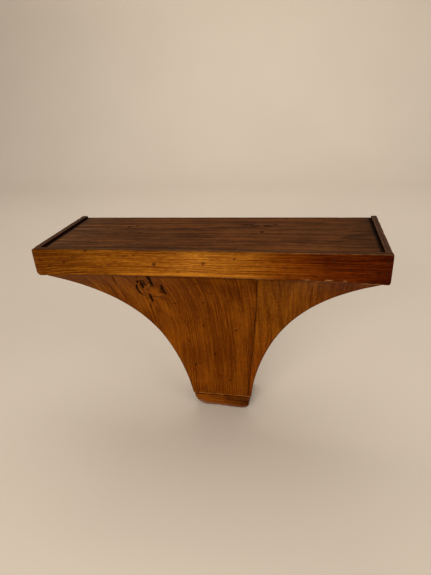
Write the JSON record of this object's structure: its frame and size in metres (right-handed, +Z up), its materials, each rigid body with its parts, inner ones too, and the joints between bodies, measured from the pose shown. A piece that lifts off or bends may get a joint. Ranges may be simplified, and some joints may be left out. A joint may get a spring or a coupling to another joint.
{
  "type": "wall shelf",
  "caption": "Wooden wall shelf: a shallow lipped tray carried on a coved front panel that narrows to a rounded foot, hung on keyhole plates.",
  "frame": {"origin": "on the wall plane, midway between the entry holes of the two hanger plates", "axes": "+X along the shelf, to the right as seen from the front; +Y into the wall; +Z up"},
  "size_m": [0.6, 0.2, 0.419],
  "materials": {
    "tray_wood": "dull dark brown, worn and dusty",
    "front_wood": "old amber varnish, satin",
    "lip_wood": "very dark brown stain, satin",
    "panel_wood": "old amber varnish, satin",
    "foot_wood": "old brown varnish, worn at the edges",
    "hidden_wood": "bare sawn wood, aged",
    "plate_steel": "zinc plated, dull",
    "screw_steel": "zinc plated, slightly tarnished",
    "nail_iron": "dark oxidised iron"
  },
  "bodies": {
    "root": {"top_board": "tray_wood", "fascia": "front_wood", "left_end": "lip_wood", "right_end": "lip_wood", "panel_main_board": "panel_wood", "panel_edge_board": "panel_wood", "foot_block": "foot_wood", "left_rib": "hidden_wood", "right_rib": "hidden_wood", "back_rail": "hidden_wood", "front_batten": "hidden_wood", "rib_glue_blocks": "hidden_wood", "wing_blocks": "hidden_wood", "left_hanger_plate": "plate_steel", "right_hanger_plate": "plate_steel", "hanger_screws": "screw_steel", "foot_screws": "screw_steel", "fascia_nails": "nail_iron", "end_nails": "nail_iron", "panel_nails": "nail_iron", "top_nails": "nail_iron"}
  },
  "joints": []
}
